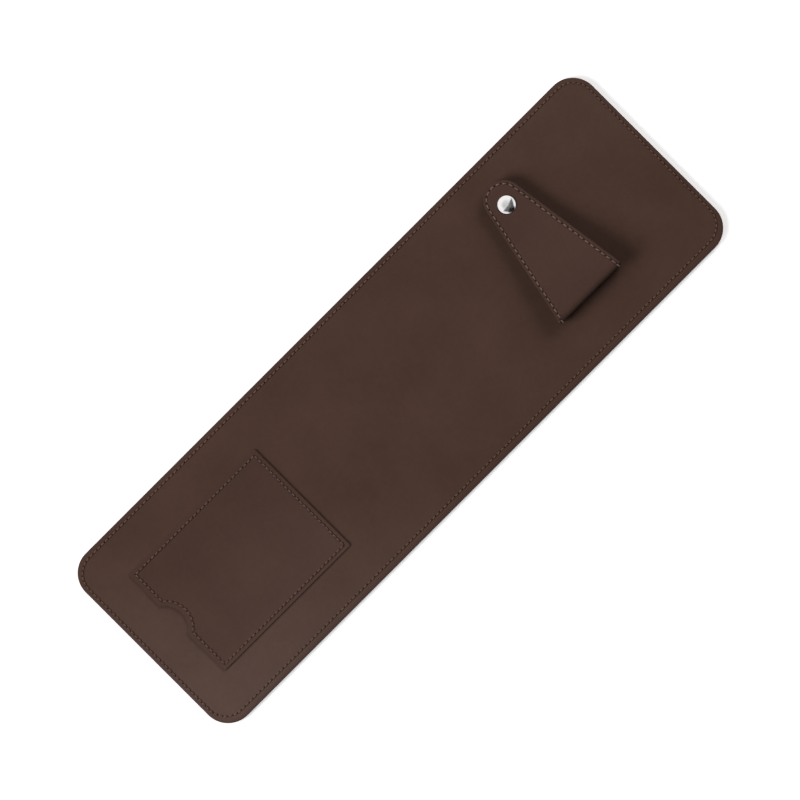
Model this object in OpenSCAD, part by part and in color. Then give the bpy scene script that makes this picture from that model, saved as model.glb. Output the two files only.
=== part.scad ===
// Leather pad for fountain pens: a long, edge-stitched leather pad with a card pocket and a
// fold-over pen loop that a snap button closes. Millimetres.
// Frame: the origin is at the bottom centre of the pad, X along its length, Y across, Z up.

/* [Pad] */
// Length along X
pad_l = 360; // [260:1:460]
// Width along Y
pad_w = 115; // [100:1:180]
// Corner radius
pad_r = 14; // [6:0.5:30]
// Thickness of the face leather
face_t = 1.0; // [0.8:0.1:2]
// Thickness of the stiffening board
core_t = 1.2; // [1:0.1:3]
// Thickness of the underside leather
back_t = 0.8; // [0.7:0.1:2]
// Radius of the burnished edges
edge_r = 0.6; // [0.2:0.05:0.65]

/* [Pad seam] */
// Inset of the seam from the two ends
seam_end = 2.3; // [1.8:0.1:6]
// Inset of the seam from the front edge, at -Y
seam_front = 4.0; // [1.8:0.1:8]
// Inset of the seam from the rear edge, at +Y
seam_rear = 2.8; // [1.8:0.1:8]
// Distance from one stitch to the next
seam_pitch = 2.7; // [2:0.1:5]
// Length of one stitch
seam_dash = 2.0; // [1.2:0.1:3.5]
// Radius of the thread
thread_r = 0.3; // [0.2:0.02:0.45]
// Depth of the channel that the thread lies in
seam_depth = 0.34; // [0.32:0.01:0.6]

/* [Card pocket] */
// Length of the pocket along X
pocket_l = 89; // [80:0.5:120]
// Width of the pocket along Y
pocket_w = 68; // [60:0.5:90]
// Distance of the pocket's mouth from the pad's -X end
pocket_end = 21.6; // [8:0.1:60]
// Shift of the pocket's middle from the pad's middle
pocket_dy = 0.6; // [-10:0.1:10]
// Thickness of the pocket leather
pocket_t = 1.0; // [0.8:0.1:1.8]
// Height that the pocket bulges over the card gap
pocket_rise = 1.2; // [0.8:0.1:4]
// Width of the flat, sewn border
pocket_rim = 5.0; // [4:0.1:10]
// Width of the slope between border and middle
pocket_run = 7.0; // [4:0.1:15]
// Inset of the pocket's seam
pocket_seam = 2.5; // [1.5:0.1:3.4]
// Thickness of the lining
pocket_lining_t = 0.3; // [0.2:0.05:0.5]
// Inset of the lining from the mouth
pocket_lining_in = 1.5; // [0.5:0.1:4]
// Radius of the thumb notch
notch_r = 11.3; // [8:0.1:15]
// Distance of the notch's centre outside the mouth
notch_out = 5.9; // [2:0.1:8]
// Shift of the notch from the pocket's middle
notch_dy = 1.7; // [-8:0.1:8]

/* [Pen loop] */
// Width along the fold
loop_w = 44; // [34:0.5:70]
// Distance of the loop's middle from the pad's +X end
loop_end = 74; // [45:0.5:110]
// Distance of the fold from the pad's front edge
loop_front = 27.7; // [16:0.1:32]
// Length from the fold to the rounded tip
loop_l = 74.3; // [66:0.1:80]
// Radius of the rounded tip
tip_r = 10.2; // [9:0.1:16]
// Shift of the tip along X from the middle of the fold
tip_dx = 1.75; // [-6:0.05:6]
// Thickness of the loop's leather
leather_t = 0.9; // [0.7:0.05:1.4]
// Thickness of the loop's lining
lining_t = 0.7; // [0.4:0.05:1]
// Inner radius of the fold
fold_in = 3.4; // [2.8:0.1:8]
// Straight run of the upper leaf after the fold
leaf_run = 2.0; // [1:0.1:6]
// Inset of the loop's seam
loop_seam = 1.9; // [1.4:0.05:3]
// Distance from one stitch of the loop to the next
loop_pitch = 3.35; // [2.4:0.05:5]
// Length of one stitch of the loop
loop_dash = 2.3; // [1.4:0.05:3.2]
// Radius of the loop's thread
loop_thread_r = 0.36; // [0.25:0.01:0.45]

/* [Snap button] */
// Distance of the snap's middle from the tip
snap_tip = 12.7; // [11.5:0.1:20]
// Shift of the snap along X from the middle of the fold
snap_dx = 1.1; // [-4:0.05:4]
// Diameter of the domed cap
cap_d = 9.3; // [9:0.1:13]
// Height of the dome
cap_h = 1.6; // [1.2:0.1:2.5]
// Diameter of the socket
socket_d = 9.0; // [8:0.1:12]
// Height of the socket
socket_h = 1.9; // [1.8:0.05:2.6]
// Diameter of the stud's flange
stud_d = 8.6; // [7:0.1:11]
// Diameter of the stud's head
head_d = 3.9; // [3.4:0.1:4.4]
// Clearance between the closing parts
snap_gap = 0.3; // [0.2:0.05:0.5]

/* [View] */
// Node to draw, or all
// Smoothness of round shapes
$fn = 96; // [48:8:200]

/* [Hidden] */

hide = [0.30, 0.22, 0.19];
hide_dark = [0.24, 0.17, 0.14];
suede = [0.34, 0.26, 0.22];
board = [0.62, 0.56, 0.46];
twine = [0.45, 0.37, 0.31];
nickel = [0.80, 0.80, 0.82];

eps = 0.01;
tuck = 0.004;

// heights of the pad's layers
core_z = back_t;
face_z = back_t + core_t;
top_z = face_z + face_t;

// the perimeter seam is a rounded rectangle of its own, shifted because its insets differ
seam_l = pad_l - 2 * seam_end;
seam_w = pad_w - seam_front - seam_rear;
seam_y = (seam_front - seam_rear) / 2;
seam_r = pad_r - (seam_end + seam_rear) / 2;
channel = thread_r + 0.08;
// the bobbin thread is thinner and sunk, so that the pad lies flat
back_r = 0.7 * thread_r;
back_bed = 2 * back_r + 0.08;

// the pocket
pocket_x0 = -pad_l / 2 + pocket_end;
pocket_x1 = pocket_x0 + pocket_l;
pocket_y0 = pocket_dy - pocket_w / 2;
pocket_y1 = pocket_dy + pocket_w / 2;
notch_c = [pocket_x0 - notch_out, pocket_dy + notch_dy];

// the loop, seen from above
loop_x = pad_l / 2 - loop_end;
fold_edge = -pad_w / 2 + loop_front;
tip_c = [loop_x + tip_dx, fold_edge + loop_l - tip_r];
tip_y = tip_c[1] + tip_r;
corner_l = [loop_x - loop_w / 2, fold_edge];
corner_r = [loop_x + loop_w / 2, fold_edge];
// directions of the two sides, each touching the tip's circle
side_a = [tangent(corner_l, 1), tangent(corner_r, -1)];
snap_at = [loop_x + snap_dx, tip_y - snap_tip];

// the loop, seen from the side
ply = leather_t + lining_t;
fold_r = fold_in + ply;
fold_y = fold_edge + fold_r;
fold_z = top_z + fold_r;
leaf_top = top_z + 2 * fold_r;
flange_t = 0.4;
seat_z = top_z + ply;
socket_z = seat_z + flange_t + snap_gap;
roof_z = socket_z + socket_h;
tip_top = roof_z + ply;
bend_y0 = fold_y + leaf_run;
bend_y1 = snap_at[1] - socket_d / 2 - 2.5;
bend_run = bend_y1 - bend_y0;
bend_drop = leaf_top - tip_top;
bend_steps = 32;
loop_channel = loop_thread_r + 0.1;
loop_depth = loop_thread_r + 0.04;

// the snap's inner parts
barrel_r = 1.3;
post_r = 1.1;
wire_r = 0.25;
mouth_r = head_d / 2 + snap_gap;
room_r = 3.3;
roof_t = 0.3;
head_z = socket_z + socket_h - roof_t - 0.2 - 0.25;
recess_r = 4.2;
post_flange_t = 0.5;

function tangent(p, side) =
  let (v = tip_c - p) atan2(v[1], v[0]) + side * asin(tip_r / norm(v));
// X of the loop's left and right side at height y, moved inwards by d
function side_x(s, d, y) =
  s < 0 ? corner_l[0] + d / sin(side_a[0]) + (y - fold_edge) / tan(side_a[0])
        : corner_r[0] - d / sin(side_a[1]) + (y - fold_edge) / tan(side_a[1]);
// outward direction of each side
function side_n(s) = s < 0 ? [-sin(side_a[0]), cos(side_a[0])] : [sin(side_a[1]), -cos(side_a[1])];
// upper face of the upper leaf: level at the fold, level again round the snap
function leaf_z(y) =
  tip_top + bend_drop * (1 + cos(180 * min(max((y - bend_y0) / bend_run, 0), 1))) / 2;
// how far the pocket's leather stands above its border, on a slope that starts at pocket_rim
function slope(d) = min(max((d - pocket_rim) / pocket_run, 0), 1) * pocket_rise;
function pocket_z(p) = top_z + pocket_t
  + min(slope(p[1] - pocket_y0), slope(pocket_y1 - p[1]), slope(pocket_x1 - p[0]));

// ---- shared shapes ----

// rounded rectangle about the origin
module rounded(l, w, r) {
  square([l - 2 * r, w], center = true);
  square([l, w - 2 * r], center = true);
  for (x = [-1, 1], y = [-1, 1]) translate([x * (l / 2 - r), y * (w / 2 - r)]) circle(r);
}

// quarter round of a slab's upper edge, cut off at the slab's underside
module edge_round(h, e) {
  translate([0, h - e]) intersection() {
    circle(e);
    translate([-e, e - h]) square([2 * e, h]);
  }
}

// side view of a slab of width w whose two upper edges are rounded by e
module slab_profile(w, h, e) {
  translate([-w / 2, 0]) square([w, h - e]);
  translate([-w / 2 + e, 0]) square([w - 2 * e, h]);
  for (s = [-1, 1]) translate([s * (w / 2 - e), 0]) edge_round(h, e);
}

// rounded slab whose upper edge is rounded by e
module slab(l, w, r, h, e) {
  translate([-l / 2 + r, 0, 0]) rotate([90, 0, 90]) linear_extrude(l - 2 * r) slab_profile(w, h, e);
  translate([0, w / 2 - r, 0]) rotate([90, 0, 0]) linear_extrude(w - 2 * r) slab_profile(l, h, e);
  for (x = [-1, 1], y = [-1, 1]) translate([x * (l / 2 - r), y * (w / 2 - r), 0]) rotate_extrude() {
    square([r, h - e]);
    square([r - e, h]);
    translate([r - e, 0]) edge_round(h, e);
  }
}

// one stitch as a round bar from p to q
module bar(p, q, r) {
  v = q - p;
  translate(p) rotate([0, acos(v[2] / norm(v)), atan2(v[1], v[0])]) cylinder(h = norm(v), r = r, $fn = 16);
}

// band of the perimeter seam, moved outwards by o
module pad_line(o) {
  translate([0, seam_y]) rounded(seam_l + 2 * o, seam_w + 2 * o, seam_r + o);
}
module pad_band() {
  difference() {
    pad_line(channel);
    pad_line(-channel);
  }
}

// the perimeter's stitches, at height 0
module pad_stitches(r) {
  nx = round((seam_l - 2 * seam_r) / seam_pitch);
  ny = round((seam_w - 2 * seam_r) / seam_pitch);
  nc = round(seam_r * PI / 2 / seam_pitch);
  for (s = [-1, 1], i = [0:nx - 1])
    translate([(i + 0.5) / nx * (seam_l - 2 * seam_r) - seam_l / 2 + seam_r, seam_y + s * seam_w / 2, 0])
      rotate([0, 90, 0]) cylinder(h = seam_dash, r = r, center = true, $fn = 16);
  for (s = [-1, 1], i = [0:ny - 1])
    translate([s * seam_l / 2, seam_y + (i + 0.5) / ny * (seam_w - 2 * seam_r) - seam_w / 2 + seam_r, 0])
      rotate([90, 0, 0]) cylinder(h = seam_dash, r = r, center = true, $fn = 16);
  for (x = [-1, 1], y = [-1, 1], i = [0:nc - 1])
    translate([x * (seam_l / 2 - seam_r), seam_y + y * (seam_w / 2 - seam_r), 0])
      rotate([0, 0, atan2(y, x) - 45 + (i + 0.5) / nc * 90]) translate([seam_r, 0, 0])
        rotate([90, 0, 0]) cylinder(h = seam_dash, r = r, center = true, $fn = 16);
}

// outline of the pocket, inset by d
module pocket_line(d) {
  difference() {
    translate([pocket_x0 + d, pocket_y0 + d]) square([pocket_l - 2 * d, pocket_w - 2 * d]);
    translate(notch_c) circle(notch_r + d);
  }
}

// the pocket's leather from its lower to its upper face, both lifted by z
module pocket_hill(z) {
  intersection() {
    translate([pocket_x0 - eps, 0, 0]) rotate([90, 0, 90]) linear_extrude(pocket_l + 2 * eps)
      polygon([[pocket_y0 - eps, 0], [pocket_y0 - eps, z], [pocket_y0 + pocket_rim, z],
        [pocket_y0 + pocket_rim + pocket_run, z + pocket_rise],
        [pocket_y1 - pocket_rim - pocket_run, z + pocket_rise],
        [pocket_y1 - pocket_rim, z], [pocket_y1 + eps, z], [pocket_y1 + eps, 0]]);
    translate([0, pocket_y1 + eps, 0]) rotate([90, 0, 0]) linear_extrude(pocket_w + 2 * eps)
      polygon([[pocket_x0 - 1, 0], [pocket_x0 - 1, z + pocket_rise],
        [pocket_x1 - pocket_rim - pocket_run, z + pocket_rise],
        [pocket_x1 - pocket_rim, z], [pocket_x1 + eps, z], [pocket_x1 + eps, 0]]);
  }
}

// the thread's bed: a band of the pocket's upper face, seam_depth deep
module pocket_bed() {
  intersection() {
    difference() {
      pocket_hill(top_z + pocket_t);
      pocket_hill(top_z + pocket_t - seam_depth);
    }
    linear_extrude(leaf_top) difference() {
      pocket_line(pocket_seam - channel);
      pocket_line(pocket_seam + channel);
    }
  }
}

// side view of the upper leaf, from depth d0 to d1 under its upper face
module leaf_profile(d0, d1) {
  ys = [for (i = [0:bend_steps]) bend_y0 + bend_run * i / bend_steps];
  polygon(concat([[fold_y, leaf_top - d0]], [for (y = ys) [y, leaf_z(y) - d0]],
    [[tip_y + 1, tip_top - d0], [tip_y + 1, tip_top - d1]],
    [for (i = [bend_steps:-1:0]) [ys[i], leaf_z(ys[i]) - d1]], [[fold_y, leaf_top - d1]]));
}

// side view of the fold, between two radii
module curl_profile(r0, r1) {
  translate([fold_y, fold_z]) difference() {
    circle(r1);
    circle(r0);
    translate([0, -r1 - 1]) square(2 * r1 + 2);
  }
}

// outline of the loop, inset by d; the straight sides end a hair inside the tip's circle
module loop_line(d) {
  y0 = fold_edge - 1;
  r = tip_r - d - tuck;
  polygon([[side_x(1, d, y0), y0], tip_c + r * side_n(1), tip_c + r * side_n(-1), [side_x(-1, d, y0), y0]]);
  translate(tip_c) circle(tip_r - d);
}

// what a side view fills of the loop's outline
module loop_body() {
  intersection() {
    translate([loop_x - loop_w, 0, 0]) rotate([90, 0, 90]) linear_extrude(2 * loop_w) children();
    translate([0, 0, -1]) linear_extrude(leaf_top + 5) loop_line(0);
  }
}

// the thread's bed in what a side view fills
module loop_bed() {
  intersection() {
    translate([loop_x - loop_w, 0, 0]) rotate([90, 0, 90]) linear_extrude(2 * loop_w) children();
    translate([0, 0, -1]) linear_extrude(leaf_top + 5) difference() {
      loop_line(loop_seam - loop_channel);
      loop_line(loop_seam + loop_channel);
    }
  }
}

// stitches up both sides and round the tip; the leaf's face is flat at z, or the upper leaf's
module loop_stitches(flat, z) {
  for (s = [-1, 1]) {
    a = side_a[s < 0 ? 0 : 1];
    y1 = tip_c[1] + (tip_r - loop_seam) * side_n(s)[1];
    n = round((y1 - fold_y) / sin(a) / loop_pitch);
    for (i = [0:n - 1]) {
      y = fold_y + (i + 0.5) / n * (y1 - fold_y);
      dy = loop_dash / 2 * sin(a);
      bar([side_x(s, loop_seam, y - dy), y - dy, flat ? z : leaf_z(y - dy)],
        [side_x(s, loop_seam, y + dy), y + dy, flat ? z : leaf_z(y + dy)], loop_thread_r);
    }
  }
  r = tip_r - loop_seam;
  a0 = atan2(side_n(1)[1], side_n(1)[0]);
  a1 = atan2(side_n(-1)[1], side_n(-1)[0]);
  n = round(r * (a1 - a0) * PI / 180 / loop_pitch);
  for (i = [0:n - 1])
    translate([tip_c[0], tip_c[1], flat ? z : tip_top]) rotate([0, 0, a0 + (i + 0.5) / n * (a1 - a0)])
      translate([r, 0, 0]) rotate([90, 0, 0])
        cylinder(h = loop_dash, r = loop_thread_r, center = true, $fn = 16);
}

// ---- pad ----

module pad_face() color(hide) difference() {
  translate([0, 0, face_z]) slab(pad_l, pad_w, pad_r, face_t, edge_r);
  translate([0, 0, top_z - seam_depth]) linear_extrude(seam_depth + 1) pad_band();
  translate([snap_at[0], snap_at[1], face_z - 1]) cylinder(h = face_t + 2, r = post_r);
}

module pad_core() color(board) difference() {
  translate([0, 0, core_z]) linear_extrude(core_t) rounded(pad_l, pad_w, pad_r);
  translate([snap_at[0], snap_at[1], face_z - post_flange_t]) cylinder(h = 1, r = recess_r);
}

module pad_back() color(hide_dark) difference() {
  translate([0, 0, back_t]) mirror([0, 0, 1]) slab(pad_l, pad_w, pad_r, back_t, edge_r);
  translate([0, 0, -1]) linear_extrude(1 + back_bed) pad_band();
}

module pad_thread() color(twine) {
  translate([0, 0, top_z - seam_depth]) linear_extrude(seam_depth - 0.1) pad_band();
  translate([0, 0, top_z - seam_depth + thread_r + 0.02]) pad_stitches(thread_r);
}

module back_thread() color(twine) {
  translate([0, 0, 1.4 * back_r]) linear_extrude(back_bed - 1.4 * back_r) pad_band();
  translate([0, 0, back_r + 0.02]) pad_stitches(back_r);
}

// ---- card pocket ----

module pocket_panel() color(hide) difference() {
  intersection() {
    difference() {
      pocket_hill(top_z + pocket_t);
      pocket_hill(top_z);
    }
    linear_extrude(leaf_top) pocket_line(0);
  }
  pocket_bed();
}

module pocket_lining() color(suede) difference() {
  translate([pocket_x0 + pocket_lining_in, pocket_y0 + pocket_rim + pocket_run,
    top_z + pocket_rise - pocket_lining_t])
    cube([pocket_l - pocket_lining_in - pocket_rim - pocket_run,
      pocket_w - 2 * (pocket_rim + pocket_run), pocket_lining_t]);
  translate([notch_c[0], notch_c[1], top_z]) cylinder(h = pocket_rise + 1, r = notch_r + pocket_lining_in);
}

module pocket_thread() color(twine) {
  pocket_bed();
  x0 = pocket_x0 + pocket_seam;
  x1 = pocket_x1 - pocket_seam;
  y0 = pocket_y0 + pocket_seam;
  y1 = pocket_y1 - pocket_seam;
  h = seam_dash / 2;
  nx = round((x1 - x0) / seam_pitch);
  for (y = [y0, y1], i = [0:nx - 1]) {
    x = x0 + (i + 0.5) / nx * (x1 - x0);
    bar([x - h, y, pocket_z([x - h, y])], [x + h, y, pocket_z([x + h, y])], thread_r);
  }
  ny = round((y1 - y0) / seam_pitch);
  for (i = [0:ny - 1]) {
    y = y0 + (i + 0.5) / ny * (y1 - y0);
    bar([x1, y - h, pocket_z([x1, y - h])], [x1, y + h, pocket_z([x1, y + h])], thread_r);
  }
  // the mouth's seam runs straight to the notch, round it, and straight on
  r = notch_r + pocket_seam;
  a = acos((x0 - notch_c[0]) / r);
  ya = notch_c[1] - r * sin(a);
  yb = notch_c[1] + r * sin(a);
  for (e = [[y0, ya], [yb, y1]]) {
    n = round((e[1] - e[0]) / seam_pitch);
    for (i = [0:n - 1]) {
      y = e[0] + (i + 0.5) / n * (e[1] - e[0]);
      bar([x0, y - h, pocket_z([x0, y - h])], [x0, y + h, pocket_z([x0, y + h])], thread_r);
    }
  }
  n = round(2 * a * PI / 180 * r / seam_pitch);
  for (i = [0:n - 1]) {
    b = -a + (i + 0.5) / n * 2 * a;
    m = notch_c + r * [cos(b), sin(b)];
    t = h * [-sin(b), cos(b)];
    bar([m[0] - t[0], m[1] - t[1], pocket_z(m - t)], [m[0] + t[0], m[1] + t[1], pocket_z(m + t)], thread_r);
  }
}

// ---- pen loop ----

module base_leather() color(hide) difference() {
  loop_body() translate([fold_y, top_z]) square([loop_l, leather_t]);
  translate([snap_at[0], snap_at[1], top_z - 1]) cylinder(h = leather_t + 2, r = post_r);
}

module base_lining() color(suede) difference() {
  loop_body() translate([fold_y, top_z + leather_t]) square([loop_l, lining_t]);
  loop_bed() translate([fold_y, seat_z - loop_depth]) square([loop_l, 1]);
  translate([snap_at[0], snap_at[1], top_z]) cylinder(h = ply + 2, r = post_r);
}

module base_thread() color(twine) {
  loop_bed() translate([fold_y, seat_z - loop_depth]) square([loop_l, loop_depth]);
  loop_stitches(true, seat_z);
}

module fold_leather() color(hide) difference() {
  loop_body() curl_profile(fold_r - leather_t, fold_r);
  loop_bed() curl_profile(fold_r - loop_depth, fold_r + 1);
}

module fold_lining() color(suede) loop_body() curl_profile(fold_in, fold_r - leather_t);

module fold_thread() color(twine) {
  loop_bed() curl_profile(fold_r - loop_depth, fold_r);
  n = round(PI * fold_r / loop_pitch);
  half = loop_dash / 2 / fold_r * 180 / PI;
  // the bars are chords, so their ends stand out by as much as their middles sink in
  r = fold_r + 0.15;
  for (s = [-1, 1], i = [0:n - 1]) {
    b = -90 + (i + 0.5) / n * 180;
    p = [fold_y - r * cos(b - half), fold_z + r * sin(b - half)];
    q = [fold_y - r * cos(b + half), fold_z + r * sin(b + half)];
    if (i > 0)
      bar([side_x(s, loop_seam, p[0]), p[0], p[1]],
        [side_x(s, loop_seam, q[0]), q[0], q[1]], loop_thread_r);
  }
}

module flap_leather() color(hide) difference() {
  loop_body() leaf_profile(0, leather_t);
  loop_bed() leaf_profile(-1, loop_depth);
  translate([snap_at[0], snap_at[1], roof_z]) cylinder(h = ply + 2, r = barrel_r);
}

module flap_lining() color(suede) difference() {
  loop_body() leaf_profile(leather_t, ply);
  translate([snap_at[0], snap_at[1], roof_z - 1]) cylinder(h = ply + 2, r = barrel_r);
}

module flap_thread() color(twine) {
  loop_bed() leaf_profile(0, loop_depth);
  loop_stitches(false, 0);
}

// ---- snap button ----

module snap_cap() color(nickel) translate([snap_at[0], snap_at[1], 0]) {
  // dome: a rolled rim and the flat-topped cap of a sphere
  ball = (pow(cap_d / 2 - 0.3, 2) + pow(cap_h - 0.3, 2)) / (2 * (cap_h - 0.3));
  translate([0, 0, tip_top]) {
    cylinder(h = 0.3, r = cap_d / 2 - 0.3);
    translate([0, 0, 0.3]) rotate_extrude() {
      translate([cap_d / 2 - 0.3, 0]) circle(0.3);
      square([cap_d / 2 - 0.3, 0.3]);
    }
    intersection() {
      translate([0, 0, cap_h - ball]) sphere(ball);
      translate([0, 0, 0.3]) cylinder(h = cap_h, r = cap_d / 2);
    }
  }
  // barrel through both plies, rolled over inside the socket
  translate([0, 0, roof_z - roof_t - 0.2]) cylinder(h = ply + roof_t + 0.3, r = barrel_r);
  translate([0, 0, roof_z - roof_t - 0.2]) cylinder(h = 0.2, r = 1.9);
}

module snap_socket() color(nickel) translate([snap_at[0], snap_at[1], socket_z]) rotate_extrude() {
  // roof, outer wall and the inturned mouth
  difference() {
    square([socket_d / 2, socket_h]);
    square([mouth_r, socket_h - roof_t]);
    translate([0, 0.4]) square([room_r, socket_h - roof_t - 0.4]);
    square([barrel_r, socket_h + 1]);
    translate([socket_d / 2 - 0.5, 0]) square([1, 0.5]);
  }
}

module snap_spring() color(nickel) translate([snap_at[0], snap_at[1], socket_z + 0.4 + wire_r])
  difference() {
    rotate_extrude() translate([mouth_r + wire_r, 0]) circle(wire_r);
    // the ring is split
    translate([0, -0.4, -1]) cube([room_r + 1, 0.8, 2]);
  }

module snap_stud() color(nickel) translate([snap_at[0], snap_at[1], seat_z]) rotate_extrude() {
  h = head_z - seat_z;
  difference() {
    union() {
      square([stud_d / 2, flange_t]);
      square([head_d / 2 - 0.3, h]);
      translate([0, h - 0.8]) square([head_d / 2, 0.5]);
      translate([head_d / 2 - 0.3, h - 0.3]) circle(0.3);
    }
    square([post_r, h + 1]);
    translate([0, h - 0.4]) square([post_r + 0.3, 1]);
  }
}

module snap_post() color(nickel) translate([snap_at[0], snap_at[1], 0]) {
  translate([0, 0, face_z - post_flange_t]) cylinder(h = post_flange_t, r = recess_r - 0.2);
  translate([0, 0, face_z - post_flange_t]) cylinder(h = head_z - 0.2 - face_z + post_flange_t, r = post_r);
  translate([0, 0, head_z - 0.4]) cylinder(h = 0.2, r = post_r + 0.3);
}

pad_face();
pad_core();
pad_back();
pad_thread();
back_thread();
pocket_panel();
pocket_lining();
pocket_thread();
base_leather();
base_lining();
base_thread();
fold_leather();
fold_lining();
fold_thread();
flap_leather();
flap_lining();
flap_thread();
snap_cap();
snap_socket();
snap_spring();
snap_stud();
snap_post();
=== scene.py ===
"""Leather pad for fountain pens: the visual model around the CAD frame.

Lengths are in millimetres, in the frame of the CAD part, until a mesh is made: X along the pad from the
card pocket to the pen loop, Y across it towards the loop's tip, Z up.
"""
import math

import bmesh
import bpy
import numpy as np
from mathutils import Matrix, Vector
from mathutils.kdtree import KDTree


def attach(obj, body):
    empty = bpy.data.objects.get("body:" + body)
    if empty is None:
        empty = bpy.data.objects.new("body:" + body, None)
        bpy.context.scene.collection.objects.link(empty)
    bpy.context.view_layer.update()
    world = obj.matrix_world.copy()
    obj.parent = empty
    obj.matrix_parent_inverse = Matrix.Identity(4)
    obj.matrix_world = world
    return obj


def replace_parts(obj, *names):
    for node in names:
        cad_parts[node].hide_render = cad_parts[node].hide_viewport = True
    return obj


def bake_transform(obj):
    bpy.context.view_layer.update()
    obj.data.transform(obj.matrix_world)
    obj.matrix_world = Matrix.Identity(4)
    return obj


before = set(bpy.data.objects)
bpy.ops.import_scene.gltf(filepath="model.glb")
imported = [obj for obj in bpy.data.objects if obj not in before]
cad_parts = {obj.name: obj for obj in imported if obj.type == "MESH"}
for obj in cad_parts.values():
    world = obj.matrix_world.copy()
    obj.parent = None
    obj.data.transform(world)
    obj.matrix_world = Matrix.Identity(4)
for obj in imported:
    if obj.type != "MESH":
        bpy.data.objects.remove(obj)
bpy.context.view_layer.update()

MM = 0.001

# ---- sizes: the CAD part's, some of them changed a little to suit the photograph ----
PAD_L, PAD_W, PAD_R = 360.0, 115.0, 14.0
BACK_T, CORE_T, FACE_T = 0.8, 1.2, 1.0
FACE_Z = BACK_T + CORE_T
TOP = FACE_Z + FACE_T
EDGE_R = 0.62
SEAM_END, SEAM_FRONT, SEAM_REAR = 2.3, 4.0, 2.8
SEAM_PITCH, SEAM_DASH = 2.7, 2.05
SEAM_THREAD, BACK_THREAD = 0.29, 0.21

POCKET_L, POCKET_W, POCKET_T = 89.0, 68.0, 0.88
POCKET_END, POCKET_DY = 21.6, 0.6
# how far the pocket's +X, -Y and +Y sides stand out past the CAD part's
POCKET_GROW_END, POCKET_GROW_FRONT, POCKET_GROW_REAR = 0.35, 0.4, 0.2
POCKET_X0 = -PAD_L / 2 + POCKET_END
POCKET_X1 = POCKET_X0 + POCKET_L + POCKET_GROW_END
POCKET_Y0 = POCKET_DY - POCKET_W / 2 - POCKET_GROW_FRONT
POCKET_Y1 = POCKET_DY + POCKET_W / 2 + POCKET_GROW_REAR
POCKET_SEAM = 2.5
POCKET_RISE, POCKET_RIM, POCKET_RUN = 0.4, 4.0, 18.0
POCKET_CORNER = 0.9
LINING_T, LINING_IN = 0.25, 8.0
NOTCH_R, NOTCH_OUT, NOTCH_Y = 11.3, 5.9, 2.3
NOTCH = (POCKET_X0 - NOTCH_OUT, NOTCH_Y)

LOOP_X = PAD_L / 2 - 74.0
LOOP_W, LOOP_L = 44.0, 74.3
LOOP_PARED = 0.8  # how much narrower the loop is at its +X end of the fold
FOLD_EDGE = -PAD_W / 2 + 27.7
TIP_R = 10.2
TIP = np.array([LOOP_X + 1.75, FOLD_EDGE + LOOP_L - TIP_R])
TIP_Y = TIP[1] + TIP_R
LEATHER_T, SUEDE_T = 0.9, 0.7
PLY = LEATHER_T + SUEDE_T
FOLD_R = 3.4 + PLY
FOLD_Y = FOLD_EDGE + FOLD_R
FOLD_Z = TOP + FOLD_R
FOLD_REACH, FOLD_POWER = FOLD_R + 0.1, 3.3
LEAF_RUN = 2.0
CUT_Y = FOLD_Y + LEAF_RUN
LOOP_SEAM, LOOP_PITCH, LOOP_DASH, LOOP_THREAD = 1.65, 3.35, 2.3, 0.30
LOOP_SEAM_DX = -0.3
SNAP = np.array([LOOP_X + 1.1, TIP_Y - 12.7])
FLANGE_T, SNAP_GAP, SOCKET_H, SOCKET_D = 0.4, 0.3, 1.9, 9.0
TIP_TOP = TOP + PLY + FLANGE_T + SNAP_GAP + SOCKET_H + PLY
LEAF_TOP = TOP + 2 * FOLD_R
BEND_Y = SNAP[1] - SOCKET_D / 2 - 2.5  # from here on the flap lies level at the snap
CAP_R, CAP_H, CAP_RIM = 4.65, 1.6, 0.34

# ---- how the threads sit in the leather: heights, depths and widths (W) ----
RIDGE, RIDGE_W, POCKET_RIDGE_W = 0.12, 0.5, 0.45  # the low ridge under the seams of pad and pocket
BACK_GROOVE, BACK_HOLE, BACK_Z = 0.30, 0.1, 0.30  # the back's groove and holes, and its thread's middle
PAD_HOLE, POCKET_HOLE, HOLE_W = 0.42, 0.40, 0.45
LOOP_GROOVE, SUEDE_GROOVE, LOOP_GROOVE_W = 0.05, 0.12, 0.55
LOOP_HOLE, SUEDE_HOLE, LOOP_HOLE_W = 0.5, 0.2, 0.48
HOLE_MARGIN = 0.4  # this much of the loop's edge is left as it is by the holes
THREAD_LIFT, LOOP_LIFT = 0.22, 0.12  # a thread's middle above the leather
SUEDE_LIFT = 0.04  # and inside the face of the suede
THREAD_SINK, BACK_SINK = 0.6, 0.3  # how far the ends of a stitch dive
SEAM_SHADOW, SEAM_SHADOW_W = 0.62, 0.36  # strength and width of the painted shadow line beside a seam
SHADOW_SHIFT = np.array([0.33, -0.38])  # from a seam to that painted shadow, away from the key lamp
NO_SEAM = 99.0  # a distance at which no seam shows
SUEDE_SHIFT = 9.0  # keeps the texture of suede apart from that of leather
CUT_R = 0.22  # rounding of a cut edge of pocket or loop

RNG = np.random.default_rng(7)


# ---- mesh helpers ----

def smoothstep(t):
    t = np.clip(t, 0, 1)
    return t * t * (3 - 2 * t)


def ripple(x, y, wave, seed):
    """Soft bumps of about one unit, from a few slow waves over x and y."""
    turn = np.random.default_rng(seed).uniform(0, 2 * math.pi, (5, 2))
    out = 0
    for k, (a, b) in enumerate(turn):
        out = out + np.sin((x * math.cos(a) + y * math.sin(a)) / wave * (1 + 0.23 * k) * 2 * math.pi + b)
    return out / 5


def skin(rows, n, closed=True, start=0):
    """Quads between neighbouring rows of n points each, numbered from start."""
    faces = []
    i = np.arange(n if closed else n - 1)
    for a in range(start, start + (rows - 1) * n, n):
        j = a + (i + 1) % n
        faces += np.stack([a + i, j, j + n, a + i + n], 1).tolist()
    return faces


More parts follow.
